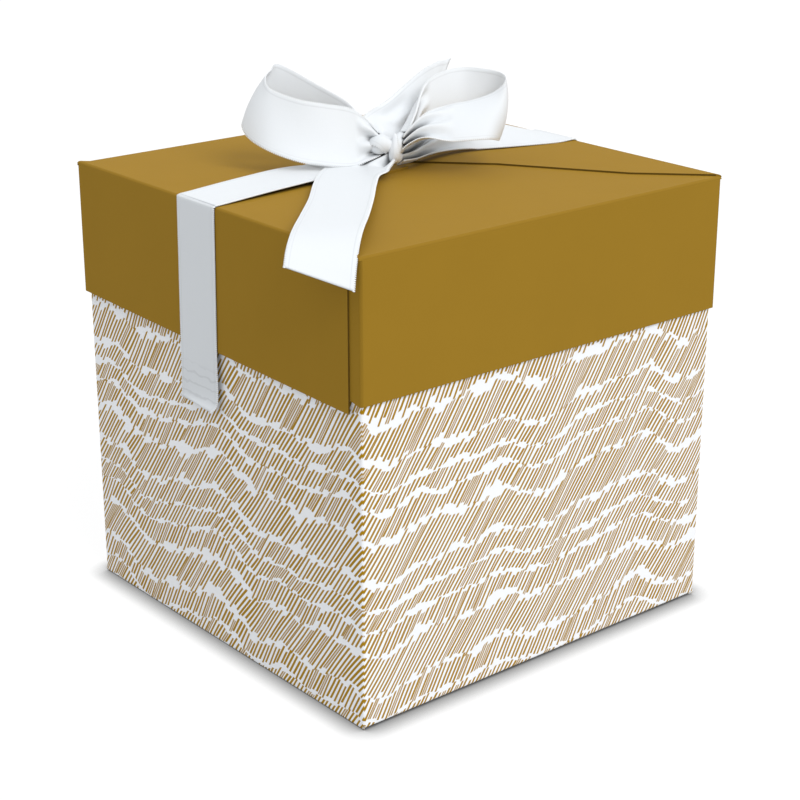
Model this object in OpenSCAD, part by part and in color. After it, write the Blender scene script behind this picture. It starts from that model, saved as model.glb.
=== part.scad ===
// Square favor box: a folded base, a lift-off folded lid and a satin bow tied on the lid.
// Millimetres, +Z up. The origin is at the middle of the underside of the base.
// -Y is the front, -X the left side that carries the ribbon's hanging end.

/* [Box] */
// Outside width and depth of the lid, which is the widest part of the closed box
box_side = 101.6; // [80:0.1:150]
// Height of the closed box, from the table to the flat top of the lid
box_h = 101.6; // [80:0.1:150]
// Height of the lid's skirt
skirt_h = 30.4; // [20:0.1:45]
// Clearance between the skirt and the walls of the base, on each side
lid_fit = 0.25; // [0.2:0.05:0.6]
// Clearance between the top edge of the base and the lid's flaps that rest on it
seat_gap = 0.3; // [0.2:0.05:0.6]

/* [Board] */
// Thickness of the folded board
board = 0.4; // [0.3:0.05:0.6]
// Inside radius of every crease
crease_r = 0.25; // [0.15:0.05:0.5]

/* [Glued joints] */
// Width of the glue tab that closes each tube
tab_w = 14; // [8:0.5:20]
// Slant of the glue tab's two short ends
tab_bevel = 3; // [1:0.5:5]
// How far the overlapping panel's free edge stands back from its corner
joint_setback = 3.5; // [1.5:0.1:5]
// How far the lid's left skirt hangs low at its glued end, because the joint was glued askew
joint_skew = 2.2; // [0:0.1:3]

/* [Flaps] */
// Width of the slot between two locking flaps, and between two glued flaps, where they meet
lock_gap = 0.3; // [0.2:0.05:0.6]
// Width of the hook at the end of each locking flap
hook_w = 3.5; // [3:0.1:4.5]
// How far the bottom's locking flaps meet in front of the middle
bottom_lock_shift = 1.25; // [0.6:0.05:2]
// How far the lid's locking flaps meet behind the middle
lid_lock_shift = 2.65; // [1.5:0.05:3.5]
// Slack between a folded flap and the crease beside it
flap_relief = 1; // [0.5:0.1:2]

/* [Ribbon] */
// Width of the ribbon
ribbon_w = 13.2; // [10:0.1:16]
// Thickness of the ribbon
ribbon_t = 0.25; // [0.15:0.05:0.4]
// How far the ribbon's cut ends hang below the lid's lower edge
ribbon_hang = 14.5; // [5:0.5:20]
// Thickness of the double-sided tape that holds the ribbon on the skirt
tape_t = 0.15; // [0.1:0.05:0.3]
// Width of each piece of tape
tape_w = 9; // [6:0.5:9.5]
// Length of each piece of tape
tape_l = 19; // [10:0.5:19]

/* [Bow] */
// Height of the knot's middle above the lid
knot_h = 4; // [3.5:0.1:6]
// Radius of the wrap round the knot
knot_r = 3; // [2.5:0.1:3.1]
// Length of the knot between the two loops
knot_l = 7; // [5:0.1:7.2]
// Reach of the left loop from the knot
left_loop_reach = 30; // [28:0.5:36]
// Reach of the right loop from the knot
right_loop_reach = 25; // [23:0.5:30]
// Reach of the tail that hangs over the front left corner
front_tail_reach = 72; // [70:0.5:76]
// Reach of the tail that stands up behind the bow
back_tail_reach = 30; // [27:0.5:36]
// Turn of the bow about the knot, in degrees, with its loops along the left to right direction at 0
bow_turn = -40; // [-45:1:-35]

/* [Hidden] */

lid_color = [0.66, 0.52, 0.19];
wall_color = [0.97, 0.98, 0.99];
tape_color = [0.90, 0.88, 0.80];
ribbon_color = [0.94, 0.96, 0.97];

$fn = 48;
// Overrun of the cutting shapes past what they cut
cut = 1;
// Outside radius of every crease
fold_r = crease_r + board;

// Half sizes of the lid's tube, and of the base's tube that fits inside its skirt and glue tab
lid_hx = box_side / 2;
lid_hy = box_side / 2;
base_hx = (box_side - 3 * board - 2 * lid_fit) / 2;
base_hy = (box_side - 2 * board - 2 * lid_fit) / 2;
base_x = board / 2;
lid_edge_z = box_h - skirt_h;
base_top_z = box_h - 2 * board - seat_gap;

// Outline of a locking flap, as shares of the tube's half width and half depth: its seam from the
// corner to the mouth of its hook, the hook's tip, and the other edge back to the next corner
seam_bend_share = [0.72, -0.72];
seam_mid_share = [0.40, -0.23];
mouth_share = 0.13;
tip_share = 0.06;
shoulder_share = [0.24, 0.12];
edge_mid_share = [0.62, 0.55];

// Outline of a glued flap, as shares of the same half sizes
glue_edge_share = [0.95, -0.62];
glue_end_share = 0.46;
lap_edge_share = [-0.95, -0.80];
lap_end_share = -0.34;

// The knot's place on the lid, as shares of the ribbon's width
knot_place_share = [-0.10, -0.13];
// Where the bands cross the lid's left and right edges, as shares of the ribbon's width
left_edge_share = 0.23;
right_edge_share = 0.08;
// How far the left band leans towards the back at its cut end, as a share of the ribbon's width
left_lean_share = 0.08;
// How far each corner of a tail's end stands ahead of its middle or behind it, because the cut is
// slanted, as shares of the ribbon's width
front_cut_share = 0.06;
back_cut_share = 0.3;

// Stations along the bands on top of the lid. The first three numbers are the place, as shares of
// the lid's half width, the ribbon's width and the knot's height, and the last three are the vector
// across the ribbon, as shares of its width.
left_band_shares = [
    [-0.965, 0.23, 0, 0, 1, 0],
    [-0.67, 0.32, 0.14, -0.08, 1, 0],
    [-0.39, 0.39, 0.20, -0.15, 0.96, 0],
    [-0.20, 0.23, 0.20, -0.15, 0.60, 0],
    [-0.13, 0.06, 0.20, -0.08, 0.30, 0]];
right_band_shares = [
    [0.965, 0.08, 0, 0, 1, 0],
    [0.87, 0.11, 0.13, 0, 1, 0.08],
    [0.63, 0.30, 0.58, 0, 0.87, 0.32],
    [0.40, 0.45, 0.88, 0, 0.60, 0.48],
    [0.20, 0.24, 0.74, 0, 0.34, 0.20],
    [0.09, 0.06, 0.65, 0, 0.22, 0.10]];

// Stations round the loops and along the tails, from the knot's middle: the place, right, away and
// up, as shares of the piece's reach, then the vector across the ribbon, as shares of its width.
left_loop_shares = [
    [-0.13, -0.05, 0.04, 0, 0.01, 0.38],
    [-0.22, -0.15, 0.12, 0, 0.08, 0.68],
    [-0.33, -0.23, 0.19, 0, 0.19, 0.93],
    [-0.55, -0.27, 0.22, 0, 0.19, 0.98],
    [-0.76, -0.25, 0.27, 0.04, 0.22, 0.97],
    [-0.93, -0.17, 0.33, 0.19, 0.19, 0.96],
    [-1.02, 0.02, 0.40, 0.50, 0.02, 0.87],
    [-0.87, 0.27, 0.39, 0.08, -0.08, 0.99],
    [-0.56, 0.23, 0.21, 0, -0.04, 1],
    [-0.37, 0.17, 0.12, 0, 0, 0.90],
    [-0.22, 0.10, 0.08, 0, 0.01, 0.60],
    [-0.13, 0.05, 0.04, 0, 0.01, 0.38]];
right_loop_shares = [
    [0.16, -0.05, 0.12, 0, 0.01, 0.38],
    [0.26, -0.06, 0.21, 0.04, -0.11, 0.60],
    [0.48, -0.04, 0.29, 0, -0.38, 0.83],
    [0.76, 0.02, 0.30, 0.08, -0.45, 0.89],
    [0.93, 0.12, 0.32, 0.09, -0.38, 0.92],
    [1.00, 0.30, 0.32, 0.08, -0.15, 0.98],
    [0.94, 0.50, 0.33, 0.12, 0.04, 0.98],
    [0.74, 0.62, 0.34, 0.04, 0.30, 0.95],
    [0.50, 0.56, 0.33, 0, 0.30, 0.95],
    [0.32, 0.38, 0.29, 0, 0.23, 0.83],
    [0.20, 0.16, 0.18, 0, 0.08, 0.53],
    [0.16, 0.07, 0.10, 0, 0.01, 0.38]];
front_tail_shares = [
    [-0.045, -0.067, -0.020, 0.30, -0.11, -0.04],
    [-0.080, -0.116, -0.030, 0.76, -0.15, -0.08],
    [-0.125, -0.21, -0.032, 0.98, -0.08, 0],
    [-0.142, -0.42, -0.034, 0.98, 0, 0],
    [-0.163, -0.65, -0.026, 1, 0, 0],
    [-0.178, -0.87, -0.024, 0.99, 0, 0],
    [-0.184, -0.94, -0.034, 0.98, 0, -0.08],
    [-0.191, -1.03, -0.098, 0.95, 0, -0.25]];
back_tail_shares = [
    [-0.083, 0.128, 0.072, -0.22, 0.08, 0.38],
    [0.007, 0.29, 0.17, -0.38, 0.08, 0.60],
    [0.21, 0.52, 0.27, -0.30, 0.08, 0.91],
    [0.37, 0.74, 0.32, -0.19, 0.08, 0.97],
    [0.47, 0.94, 0.31, -0.15, 0.08, 0.98]];
// Rings that the smooth curve puts between two stations
ribbon_rings = 4;

function unit(v) = v / norm(v);

// The smooth curve through a list of stations
function between(a, b, c, d, t) =
    (2 * b + (c - a) * t + (2 * a - 5 * b + 4 * c - d) * t * t
    + (3 * b - a - 3 * c + d) * t * t * t) / 2;
function smooth(stations) = let (last = len(stations) - 1) concat(
    [for (i = [0:last - 1], k = [0:ribbon_rings - 1])
        between(stations[max(i - 1, 0)], stations[i], stations[i + 1],
            stations[min(i + 2, last)], k / ribbon_rings)],
    [stations[last]]);

function place(s) = [s[0], s[1], s[2]];
function across(s) = [s[3], s[4], s[5]] * ribbon_w;

// The four corners of the ribbon's section at one station
function section(stations, i) =
    let (last = len(stations) - 1,
        c = place(stations[i]),
        w = across(stations[i]) / 2,
        along = place(stations[min(i + 1, last)]) - place(stations[max(i - 1, 0)]),
        n = unit(cross(along, w)) * ribbon_t / 2)
    [c - w - n, c + w - n, c + w + n, c - w + n];

// A closed strip of ribbon through its stations. At the last ring, cut_slant moves the two corners
// of the ribbon's first edge back, and the other two ahead.
module ribbon(stations, cut_slant = 0) {
    last = len(stations) - 1;
    ahead = unit(place(stations[last]) - place(stations[last - 1])) * cut_slant;
    slant = [-ahead, ahead, ahead, -ahead];
    points = [for (i = [0:last], k = [0:3])
        section(stations, i)[k] + (i == last ? slant[k] : [0, 0, 0])];
    // Both broad faces are split along the same diagonal, so that a twisted strip keeps its thickness
    sides = [for (i = [0:last - 1], k = [0:3]) let (a = 4 * i, m = (k + 1) % 4)
        each (k == 2
            ? [[a + k, a + m, a + 4 + k], [a + m, a + 4 + m, a + 4 + k]]
            : [[a + k, a + m, a + 4 + m], [a + k, a + 4 + m, a + 4 + k]])];
    caps = [[0, 2, 1], [0, 3, 2], [4 * last, 4 * last + 1, 4 * last + 2],
        [4 * last, 4 * last + 2, 4 * last + 3]];
    polyhedron(points = points, faces = [for (f = concat(sides, caps)) [f[2], f[1], f[0]]]);
}

// A quarter of a folded crease, in the corner between +X and +Y
module fold_section() {
    intersection() {
        difference() {
            circle(r = fold_r);
            circle(r = crease_r);
        }
        square(fold_r + cut);
    }
}

// One panel of a tube, running along +X with its outside face at Y = 0, and the crease at its end.
// The panel lies from low to high, and the crease from crease_low to crease_high. start is where
// the plate begins, jog is how far short of the corner it turns, and drop lowers its first end.
module panel(length, low, high, crease_low, crease_high, start = fold_r, jog = 0, drop = 0) {
    turn_x = length - jog - fold_r;
    rotate([90, 0, 0])
        linear_extrude(board)
            polygon([[start, low - drop], [turn_x, low], [turn_x, high], [start, high]]);
    translate([turn_x, -fold_r, crease_low])
        linear_extrude(crease_high - crease_low)
            fold_section();
}

// The glue tab, in the frame of the panel that it is glued behind
module glue_tab(low, high) {
    translate([fold_r, -board, 0])
        rotate([90, 0, 0])
            linear_extrude(board)
                polygon([[0, low], [tab_w, low + tab_bevel], [tab_w, high - tab_bevel], [0, high]]);
}

// Frames of the four panels of a tube with the half sizes hx and hy, going round it clockwise.
// The tube's glued corner is at -X -Y, where the overlapping panel starts.
module at_overlap(hx, hy) { translate([-hx, -hy, 0]) rotate([0, 0, 90]) children(); }
module at_second(hx, hy) { translate([-hx, hy, 0]) children(); }
module at_third(hx, hy) { translate([hx, hy, 0]) rotate([0, 0, -90]) children(); }
module at_tabbed(hx, hy) { translate([hx, -hy, 0]) rotate([0, 0, 180]) children(); }

// The crease of a flap that folds from the wall at +X, mitred at both ends, with its top at Z = 0
module flap_crease(hx, hy) {
    intersection() {
        translate([hx - fold_r, hy, -fold_r])
            rotate([90, 0, 0])
                linear_extrude(2 * hy)
                    fold_section();
        translate([0, 0, -fold_r])
            linear_extrude(fold_r)
                polygon([[hx, -hy], [hx, hy], [hx - fold_r, hy - fold_r], [hx - fold_r, -hy + fold_r]]);
    }
}

// A locking flap on the wall at +X, with its outside face at Z = 0. seam_y is where its hook
// meets the other flap's hook.
module locking_flap(hx, hy, seam_y) {
    flap_crease(hx, hy);
    translate([0, 0, -board])
        linear_extrude(board)
            polygon([
                [hx - fold_r, -hy + fold_r],
                [hx - fold_r, hy - fold_r],
                [edge_mid_share[0] * hx, edge_mid_share[1] * hy],
                [shoulder_share[0] * hx, shoulder_share[1] * hy + seam_y],
                [-tip_share * hx, seam_y + hook_w],
                [-tip_share * hx, seam_y],
                [mouth_share * hx, seam_y],
                [seam_mid_share[0] * hx, seam_mid_share[1] * hy],
                [seam_bend_share[0] * hx, seam_bend_share[1] * hy]]);
}

// A glued flap on the wall at -Y, with its outside face at Z = 0 and its end at end_y. Past the
// diagonal at +X it is glued under the locking flap, and at -X it only laps under the other one.
module glued_flap(hx, hy, end_y) {
    rotate([0, 0, -90])
        flap_crease(hy, hx);
    translate([0, 0, -board])
        linear_extrude(board)
            polygon([
                [-hx + fold_r, -hy + fold_r],
                [hx - fold_r, -hy + fold_r],
                [hx - fold_r - flap_relief, -hy + fold_r + flap_relief],
                [glue_edge_share[0] * hx, glue_edge_share[1] * hy],
                [glue_end_share * hx, end_y],
                [lap_end_share * hx, end_y],
                [lap_edge_share[0] * hx, lap_edge_share[1] * hy]]);
}

// The base's tube is the lid's turned half round, so its glued corner is the one at +X +Y
module base_frame() { translate([base_x, 0, 0]) rotate([0, 0, 180]) children(); }
// Its flaps are the lid's upside down
module bottom_frame() { translate([base_x, 0, 0]) mirror([0, 0, 1]) children(); }

// Where the locking flaps meet, and where the glued flaps end behind that, as seen in each frame
bottom_seam_y = -bottom_lock_shift;
lid_seam_y = lid_lock_shift;
bottom_end_y = bottom_seam_y + flap_relief;
lid_end_y = lid_seam_y + flap_relief;

base_lock_z = fold_r;
base_glue_z = board + fold_r;
lid_lock_z = box_h - fold_r;
lid_glue_z = box_h - board - fold_r;

module base_right_wall() {
    color(wall_color) base_frame() at_overlap(base_hx, base_hy)
        panel(2 * base_hy, base_lock_z, base_top_z, base_glue_z, base_top_z, start = joint_setback);
}
module base_front_wall() {
    color(wall_color) base_frame() at_second(base_hx, base_hy)
        panel(2 * base_hx, base_glue_z, base_top_z, base_glue_z, base_top_z);
}
module base_left_wall() {
    color(wall_color) base_frame() at_third(base_hx, base_hy)
        panel(2 * base_hy, base_lock_z, base_top_z, base_glue_z, base_top_z);
}
module base_back_wall() {
    color(wall_color) base_frame() at_tabbed(base_hx, base_hy)
        panel(2 * base_hx, base_glue_z, base_top_z, base_glue_z, base_top_z, jog = board);
}
module base_glue_tab() {
    color(wall_color) base_frame() at_overlap(base_hx, base_hy)
        glue_tab(base_glue_z, base_top_z);
}
module bottom_right_flap() {
    color(wall_color) bottom_frame()
        locking_flap(base_hx, base_hy, bottom_seam_y + lock_gap / 2);
}
module bottom_left_flap() {
    color(wall_color) bottom_frame() rotate([0, 0, 180])
        locking_flap(base_hx, base_hy, lock_gap / 2 - bottom_seam_y);
}
module bottom_front_flap() {
    color(wall_color) bottom_frame() translate([0, 0, -board])
        glued_flap(base_hx, base_hy, bottom_end_y);
}
module bottom_back_flap() {
    color(wall_color) bottom_frame() translate([0, 0, -board]) rotate([0, 0, 180])
        glued_flap(base_hx, base_hy, -bottom_end_y - lock_gap);
}

module lid_left_skirt() {
    color(lid_color) at_overlap(lid_hx, lid_hy)
        panel(2 * lid_hy, lid_edge_z, lid_lock_z, lid_edge_z, lid_glue_z,
            start = joint_setback, drop = joint_skew);
}
module lid_back_skirt() {
    color(lid_color) at_second(lid_hx, lid_hy)
        panel(2 * lid_hx, lid_edge_z, lid_glue_z, lid_edge_z, lid_glue_z);
}
module lid_right_skirt() {
    color(lid_color) at_third(lid_hx, lid_hy)
        panel(2 * lid_hy, lid_edge_z, lid_lock_z, lid_edge_z, lid_glue_z);
}
module lid_front_skirt() {
    color(lid_color) at_tabbed(lid_hx, lid_hy)
        panel(2 * lid_hx, lid_edge_z, lid_glue_z, lid_edge_z, lid_glue_z, jog = board);
}
module lid_glue_tab() {
    color(lid_color) at_overlap(lid_hx, lid_hy)
        glue_tab(lid_edge_z, lid_glue_z);
}
module lid_right_flap() {
    color(lid_color) translate([0, 0, box_h])
        locking_flap(lid_hx, lid_hy, lid_seam_y + lock_gap / 2);
}
module lid_left_flap() {
    color(lid_color) translate([0, 0, box_h]) rotate([0, 0, 180])
        locking_flap(lid_hx, lid_hy, lock_gap / 2 - lid_seam_y);
}
module lid_front_flap() {
    color(lid_color) translate([0, 0, box_h - board])
        glued_flap(lid_hx, lid_hy, lid_end_y);
}
module lid_back_flap() {
    color(lid_color) translate([0, 0, box_h - board]) rotate([0, 0, 180])
        glued_flap(lid_hx, lid_hy, -lid_end_y - lock_gap);
}

// The ribbon's middle stands this far off the board, on the skirt and on top
ribbon_off = tape_t + ribbon_t / 2;
// The ribbon turns over the lid's edge round the crease's own centre
ribbon_turn_r = fold_r + ribbon_off;

// The upright part of a band, from its cut end to the lid's edge and over it. side is -1 or 1.
function band_side(side, y, lean) = concat(
    [[side * (lid_hx + ribbon_off), y + lean, lid_edge_z - ribbon_hang, 0, 1, 0]],
    [for (a = [0:30:90]) [
        side * (lid_hx - fold_r + ribbon_turn_r * cos(a)), y,
        box_h - fold_r + ribbon_turn_r * sin(a), 0, 1, 0]]);
// The part on top, from its table of shares
function band_top(shares) = smooth([for (s = shares) [
    s[0] * lid_hx, s[1] * ribbon_w, box_h + ribbon_off + s[2] * knot_h, s[3], s[4], s[5]]]);

module ribbon_left_band() {
    color(ribbon_color)
        ribbon(concat(
            band_side(-1, left_edge_share * ribbon_w, left_lean_share * ribbon_w),
            band_top(left_band_shares)));
}
module ribbon_right_band() {
    color(ribbon_color)
        ribbon(concat(
            band_side(1, right_edge_share * ribbon_w, 0),
            band_top(right_band_shares)));
}

// A patch of tape on the skirt at the side -1 or 1, centred on the band there
module tape(side, y) {
    color(tape_color)
        translate([side * (lid_hx + tape_t / 2), y, (lid_edge_z + lid_lock_z) / 2])
            cube([tape_t, tape_w, tape_l], center = true);
}
module ribbon_left_tape() { tape(-1, left_edge_share * ribbon_w); }
module ribbon_right_tape() { tape(1, right_edge_share * ribbon_w); }

module bow_frame() {
    translate([knot_place_share[0] * ribbon_w, knot_place_share[1] * ribbon_w, box_h + knot_h])
        rotate([0, 0, bow_turn])
            children();
}

// A loop or a tail, from its table of shares
module bow_piece(shares, reach, cut_slant = 0) {
    color(ribbon_color) bow_frame()
        ribbon(smooth([for (s = shares) [s[0] * reach, s[1] * reach, s[2] * reach, s[3], s[4], s[5]]]),
            cut_slant);
}
module ribbon_left_loop() { bow_piece(left_loop_shares, left_loop_reach); }
module ribbon_right_loop() { bow_piece(right_loop_shares, right_loop_reach); }
module ribbon_front_tail() {
    bow_piece(front_tail_shares, front_tail_reach, front_cut_share * ribbon_w);
}
module ribbon_back_tail() {
    bow_piece(back_tail_shares, back_tail_reach, back_cut_share * ribbon_w);
}

// The knot is a barrel of gathered ribbon with a narrower wrap round its waist
knot_waist_share = 0.86;
knot_end_share = 0.62;
knot_wrap_share = 0.28;
module ribbon_knot() {
    half = knot_l / 2;
    wrap = knot_wrap_share * knot_l;
    color(ribbon_color) bow_frame()
        rotate([0, 90, 0])
            rotate_extrude()
                polygon([
                    [0, -half], [knot_end_share * knot_r, -half],
                    [knot_waist_share * knot_r, -wrap], [knot_r, -wrap],
                    [knot_r, wrap], [knot_waist_share * knot_r, wrap],
                    [knot_end_share * knot_r, half], [0, half]]);
}

base_front_wall();
base_right_wall();
base_back_wall();
base_left_wall();
base_glue_tab();
bottom_left_flap();
bottom_right_flap();
bottom_front_flap();
bottom_back_flap();
lid_front_skirt();
lid_right_skirt();
lid_back_skirt();
lid_left_skirt();
lid_glue_tab();
lid_left_flap();
lid_right_flap();
lid_front_flap();
lid_back_flap();
ribbon_left_band();
ribbon_right_band();
ribbon_left_tape();
ribbon_right_tape();
ribbon_knot();
ribbon_left_loop();
ribbon_right_loop();
ribbon_front_tail();
ribbon_back_tail();
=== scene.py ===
# %% [markdown]
# A favor box is two folded sheets of thin board: a printed base that locks together underneath, and
# a plain ochre lid that lifts off. A white satin ribbon lies across the lid, and a bow is tied on
# it. The folded board is exact already, so this lesson gives it its print and its paper finish, and
# it makes the ribbon, which no flat solid can show, as a woven strip that gathers into a knot.

# %% Load the frame
import math

import bpy
import numpy as np
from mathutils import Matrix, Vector


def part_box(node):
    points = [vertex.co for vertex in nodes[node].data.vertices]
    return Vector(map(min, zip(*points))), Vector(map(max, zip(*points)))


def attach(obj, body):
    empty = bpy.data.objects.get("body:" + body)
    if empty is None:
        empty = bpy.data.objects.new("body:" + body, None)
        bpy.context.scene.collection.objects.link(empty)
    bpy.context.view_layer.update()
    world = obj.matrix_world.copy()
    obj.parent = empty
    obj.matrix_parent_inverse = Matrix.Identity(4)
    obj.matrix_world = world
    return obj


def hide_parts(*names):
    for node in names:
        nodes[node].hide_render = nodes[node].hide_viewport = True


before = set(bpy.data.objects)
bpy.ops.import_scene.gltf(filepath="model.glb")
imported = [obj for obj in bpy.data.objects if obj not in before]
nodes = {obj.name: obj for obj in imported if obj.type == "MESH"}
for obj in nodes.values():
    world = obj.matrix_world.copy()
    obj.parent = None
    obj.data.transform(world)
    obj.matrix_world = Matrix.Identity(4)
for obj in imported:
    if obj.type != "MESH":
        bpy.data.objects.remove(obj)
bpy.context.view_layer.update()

# %% [markdown]
# Every later size hangs on the frame, so the few that matter are read from it once: the lid's half
# width, its flat top, its lower edge, and the base's outer faces.

# %% Sizes read from the frame
MM = 0.001
lid_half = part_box("lid_right_skirt")[1].x
lid_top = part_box("lid_right_flap")[1].z
lid_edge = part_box("lid_right_skirt")[0].z
lid_middle = (lid_top + lid_edge) / 2
base_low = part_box("base_left_wall")[0]
base_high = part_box("base_right_wall")[1]
board = lid_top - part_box("lid_front_flap")[1].z
box_width = 2 * lid_half
print(f"lid {box_width / MM:.1f} mm wide, top at {lid_top / MM:.1f} mm, board {board / MM:.2f} mm")

# %% [markdown]
# The camera comes first, because the picture decides how much detail is worth making. A photograph
# of a box gives its own camera: the edges that run away from us meet at two vanishing points, and
# these fix the turn, the tilt, the distance and the length of the lens. The values here are that
# solution, as angles and as multiples of the box's width.

# %% Camera
PHOTO_WIDTH_PX = 800
FOCAL_PX = 1892
SENSOR_MM = 36
camera_azimuth = math.radians(-39.75)
camera_elevation = math.radians(20.29)
camera_distance = 4.329 * box_width
camera_target = Vector((0.015 * box_width, 0, 0.455 * box_width))

camera_back = Vector((
    math.sin(camera_azimuth) * math.cos(camera_elevation),
    -math.cos(camera_azimuth) * math.cos(camera_elevation),
    math.sin(camera_elevation)))
camera_data = bpy.data.cameras.new("camera")
camera_data.sensor_width = SENSOR_MM
camera_data.lens = SENSOR_MM * FOCAL_PX / PHOTO_WIDTH_PX
camera = bpy.data.objects.new("camera", camera_data)
bpy.context.collection.objects.link(camera)
camera.location = camera_target + camera_back * camera_distance
camera.rotation_euler = (-camera_back).to_track_quat("-Z", "Y").to_euler()
bpy.context.scene.camera = camera
print("lens in mm:", round(camera_data.lens, 1))

# %% [markdown]
# A material's nodes are easier to read as a formula than as boxes and wires. A Field is one number
# that varies over a surface. Adding or multiplying two Fields makes the Math node for it, so a
# pattern can be written the way it would be on paper.

# %% A field is a number that varies over a surface
class Field:
    def __init__(self, tree, socket):
        self.tree = tree
        self.socket = socket

    def math(self, operation, *others, clamp=False):
        node = self.tree.nodes.new("ShaderNodeMath")
        node.operation = operation
        node.use_clamp = clamp
        for place, value in zip(node.inputs, (self, *others)):
            if isinstance(value, Field):
                self.tree.links.new(value.socket, place)
            else:
                place.default_value = value
        return Field(self.tree, node.outputs[0])

    def __add__(self, other):
        return self.math("ADD", other)

    def __sub__(self, other):
        return self.math("SUBTRACT", other)

    def __rsub__(self, other):
        return self * -1 + other

    def __mul__(self, other):
        return self.math("MULTIPLY", other)

    def __truediv__(self, other):
        return self.math("DIVIDE", other)

    def size(self):
        return self.math("ABSOLUTE")

    def floor(self):
        return self.math("FLOOR")

    def fraction(self):
        return self.math("FRACT")

    def sine(self):
        return self.math("SINE")

    def step(self, width):
        """0 below zero and 1 above it, with a soft edge of the given width."""
        return (self / width).math("ADD", 0.5, clamp=True)

    def mix(self, other, amount):
        """This field where amount is 0, and the other where it is 1."""
        return self + (other - self) * amount

# %% [markdown]
# Board, tape, satin and thread look nothing alike, yet each takes the same few steps: find out
# where on the piece a point lies, scatter some noise there, blend two colours by it, and let it
# raise or sink the surface a little. Painted images could do that too, but they have a fixed number
# of pixels, and a size that changes would stretch them. So the steps are small helpers instead.

# %% Where a point lies
def coordinates(tree, output):
    """The three numbers of a texture coordinate, as fields."""
    source = tree.nodes.new("ShaderNodeTexCoord")
    parts = tree.nodes.new("ShaderNodeSeparateXYZ")
    tree.links.new(source.outputs[output], parts.inputs[0])
    return [Field(tree, socket) for socket in parts.outputs]


def combine(tree, *fields):
    """A vector from three fields or numbers."""
    node = tree.nodes.new("ShaderNodeCombineXYZ")
    for place, value in zip(node.inputs, fields):
        if isinstance(value, Field):
            tree.links.new(value.socket, place)
        else:
            place.default_value = value
    return node.outputs[0]

# %% Noise and dice
def noise(tree, vector, scale, detail):
    """Smooth noise from 0 to 1."""
    node = tree.nodes.new("ShaderNodeTexNoise")
    node.inputs["Scale"].default_value = scale
    node.inputs["Detail"].default_value = detail
    tree.links.new(vector, node.inputs["Vector"])
    return Field(tree, node.outputs["Fac"])


def grain(tree, scale, detail):
    """Smooth noise that fills the space, for a finish without a direction."""
    source = tree.nodes.new("ShaderNodeTexCoord")
    return noise(tree, source.outputs["Object"], scale, detail)


def dice(tree, vector):
    """Three random numbers that stay the same wherever the vector does."""
    node = tree.nodes.new("ShaderNodeTexWhiteNoise")
    node.noise_dimensions = "3D"
    tree.links.new(vector, node.inputs["Vector"])
    parts = tree.nodes.new("ShaderNodeSeparateColor")
    tree.links.new(node.outputs["Color"], parts.inputs[0])
    return [Field(tree, socket) for socket in parts.outputs]

# %% Colour and bump
def shade(color, share):
    """A colour made darker by a share below 1, or lighter by one above it."""
    return [share * c for c in color]


def blend_colors(tree, amount, low, high):
    """One colour where amount is 0 and another where it is 1. Each is a socket or three numbers."""
    node = tree.nodes.new("ShaderNodeMix")
    node.data_type = "RGBA"
    tree.links.new(amount.socket, node.inputs["Factor"])
    for place, color in ((node.inputs[6], low), (node.inputs[7], high)):
        if isinstance(color, bpy.types.NodeSocket):
            tree.links.new(color, place)
        else:
            place.default_value = (*color, 1)
    return node.outputs[2]


def new_material(name, roughness, gloss=0.5):
    """A material that isn't coloured yet. A gloss of 0.5 is the shine of most plain things."""
    material = bpy.data.materials.new(name)
    material.use_nodes = True
    tree = material.node_tree
    shader = tree.nodes["Principled BSDF"]
    shader.inputs["Roughness"].default_value = roughness
    shader.inputs["Specular IOR Level"].default_value = gloss
    return material, tree, shader


def finish(tree, shader, color, height, depth, strength):
    """Gives a material its colour, and a bump that follows height, with its depth in metres."""
    tree.links.new(color, shader.inputs["Base Color"])
    bump = tree.nodes.new("ShaderNodeBump")
    bump.inputs["Strength"].default_value = strength
    bump.inputs["Distance"].default_value = depth
    tree.links.new(height.socket, bump.inputs["Height"])
    tree.links.new(bump.outputs["Normal"], shader.inputs["Normal"])

# %% [markdown]
# Where two things nearly touch, hardly any light gets in: under a loop, between the folds at the
# knot, along a seam of the lid. In an even white studio those places come out paler than they
# should, so shade is painted into the colour there. An Ambient Occlusion node measures how much of
# the view is open within a short reach, and below a certain share of it the painted shade sets in.

# %% Painted shade in crevices
crevice_reach = 2.2 * MM
open_share = 0.60


def painted_crevice_shade(tree, color, dark):
    """A colour darkened by painted shade where another surface lies close over it."""
    near = tree.nodes.new("ShaderNodeAmbientOcclusion")
    near.inputs["Distance"].default_value = crevice_reach
    open_air = Field(tree, near.outputs["AO"]).math("MULTIPLY", 1 / open_share, clamp=True)
    return blend_colors(tree, open_air, dark, color)

# %% [markdown]
# Folding board has a printed outside and a bare inside, and a crease is pressed in before it is
# folded. Each could be a material of its own, with every face sorted by hand. It isn't needed,
# because the surface itself tells them apart: outside faces point away from the middle of the box,
# only a crease points between two axes, and a cut edge lies where its sheet ends.

# %% Which way a board face points
BARE_BOARD = (0.80, 0.785, 0.745)
hair = 0.1 * MM
turn_blur = 0.1
outside_blur = 0.2 * lid_half
crease_gain = 4
# A face lies where the upright part of its normal is over the first, and stands where it is under
# the second.
lying = 0.7
standing = 0.5


def facing_outside(tree):
    """1 where a face of the folded box points away from its middle, and 0 where it points in."""
    x, y, z = coordinates(tree, "Object")
    nx, ny, nz = coordinates(tree, "Normal")
    above_middle = (z - lid_middle).step(board)
    sideways = nx * x + ny * y
    upright = nz * (above_middle * 2 - 1) * lid_half
    return (sideways + upright).step(outside_blur)


def on_crease(tree):
    """1 on the rounded creases and 0 on the flat panels."""
    nx, ny, nz = (part.size() for part in coordinates(tree, "Normal"))
    return (nx * ny + ny * nz + nx * nz).math("MULTIPLY", crease_gain, clamp=True)
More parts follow.
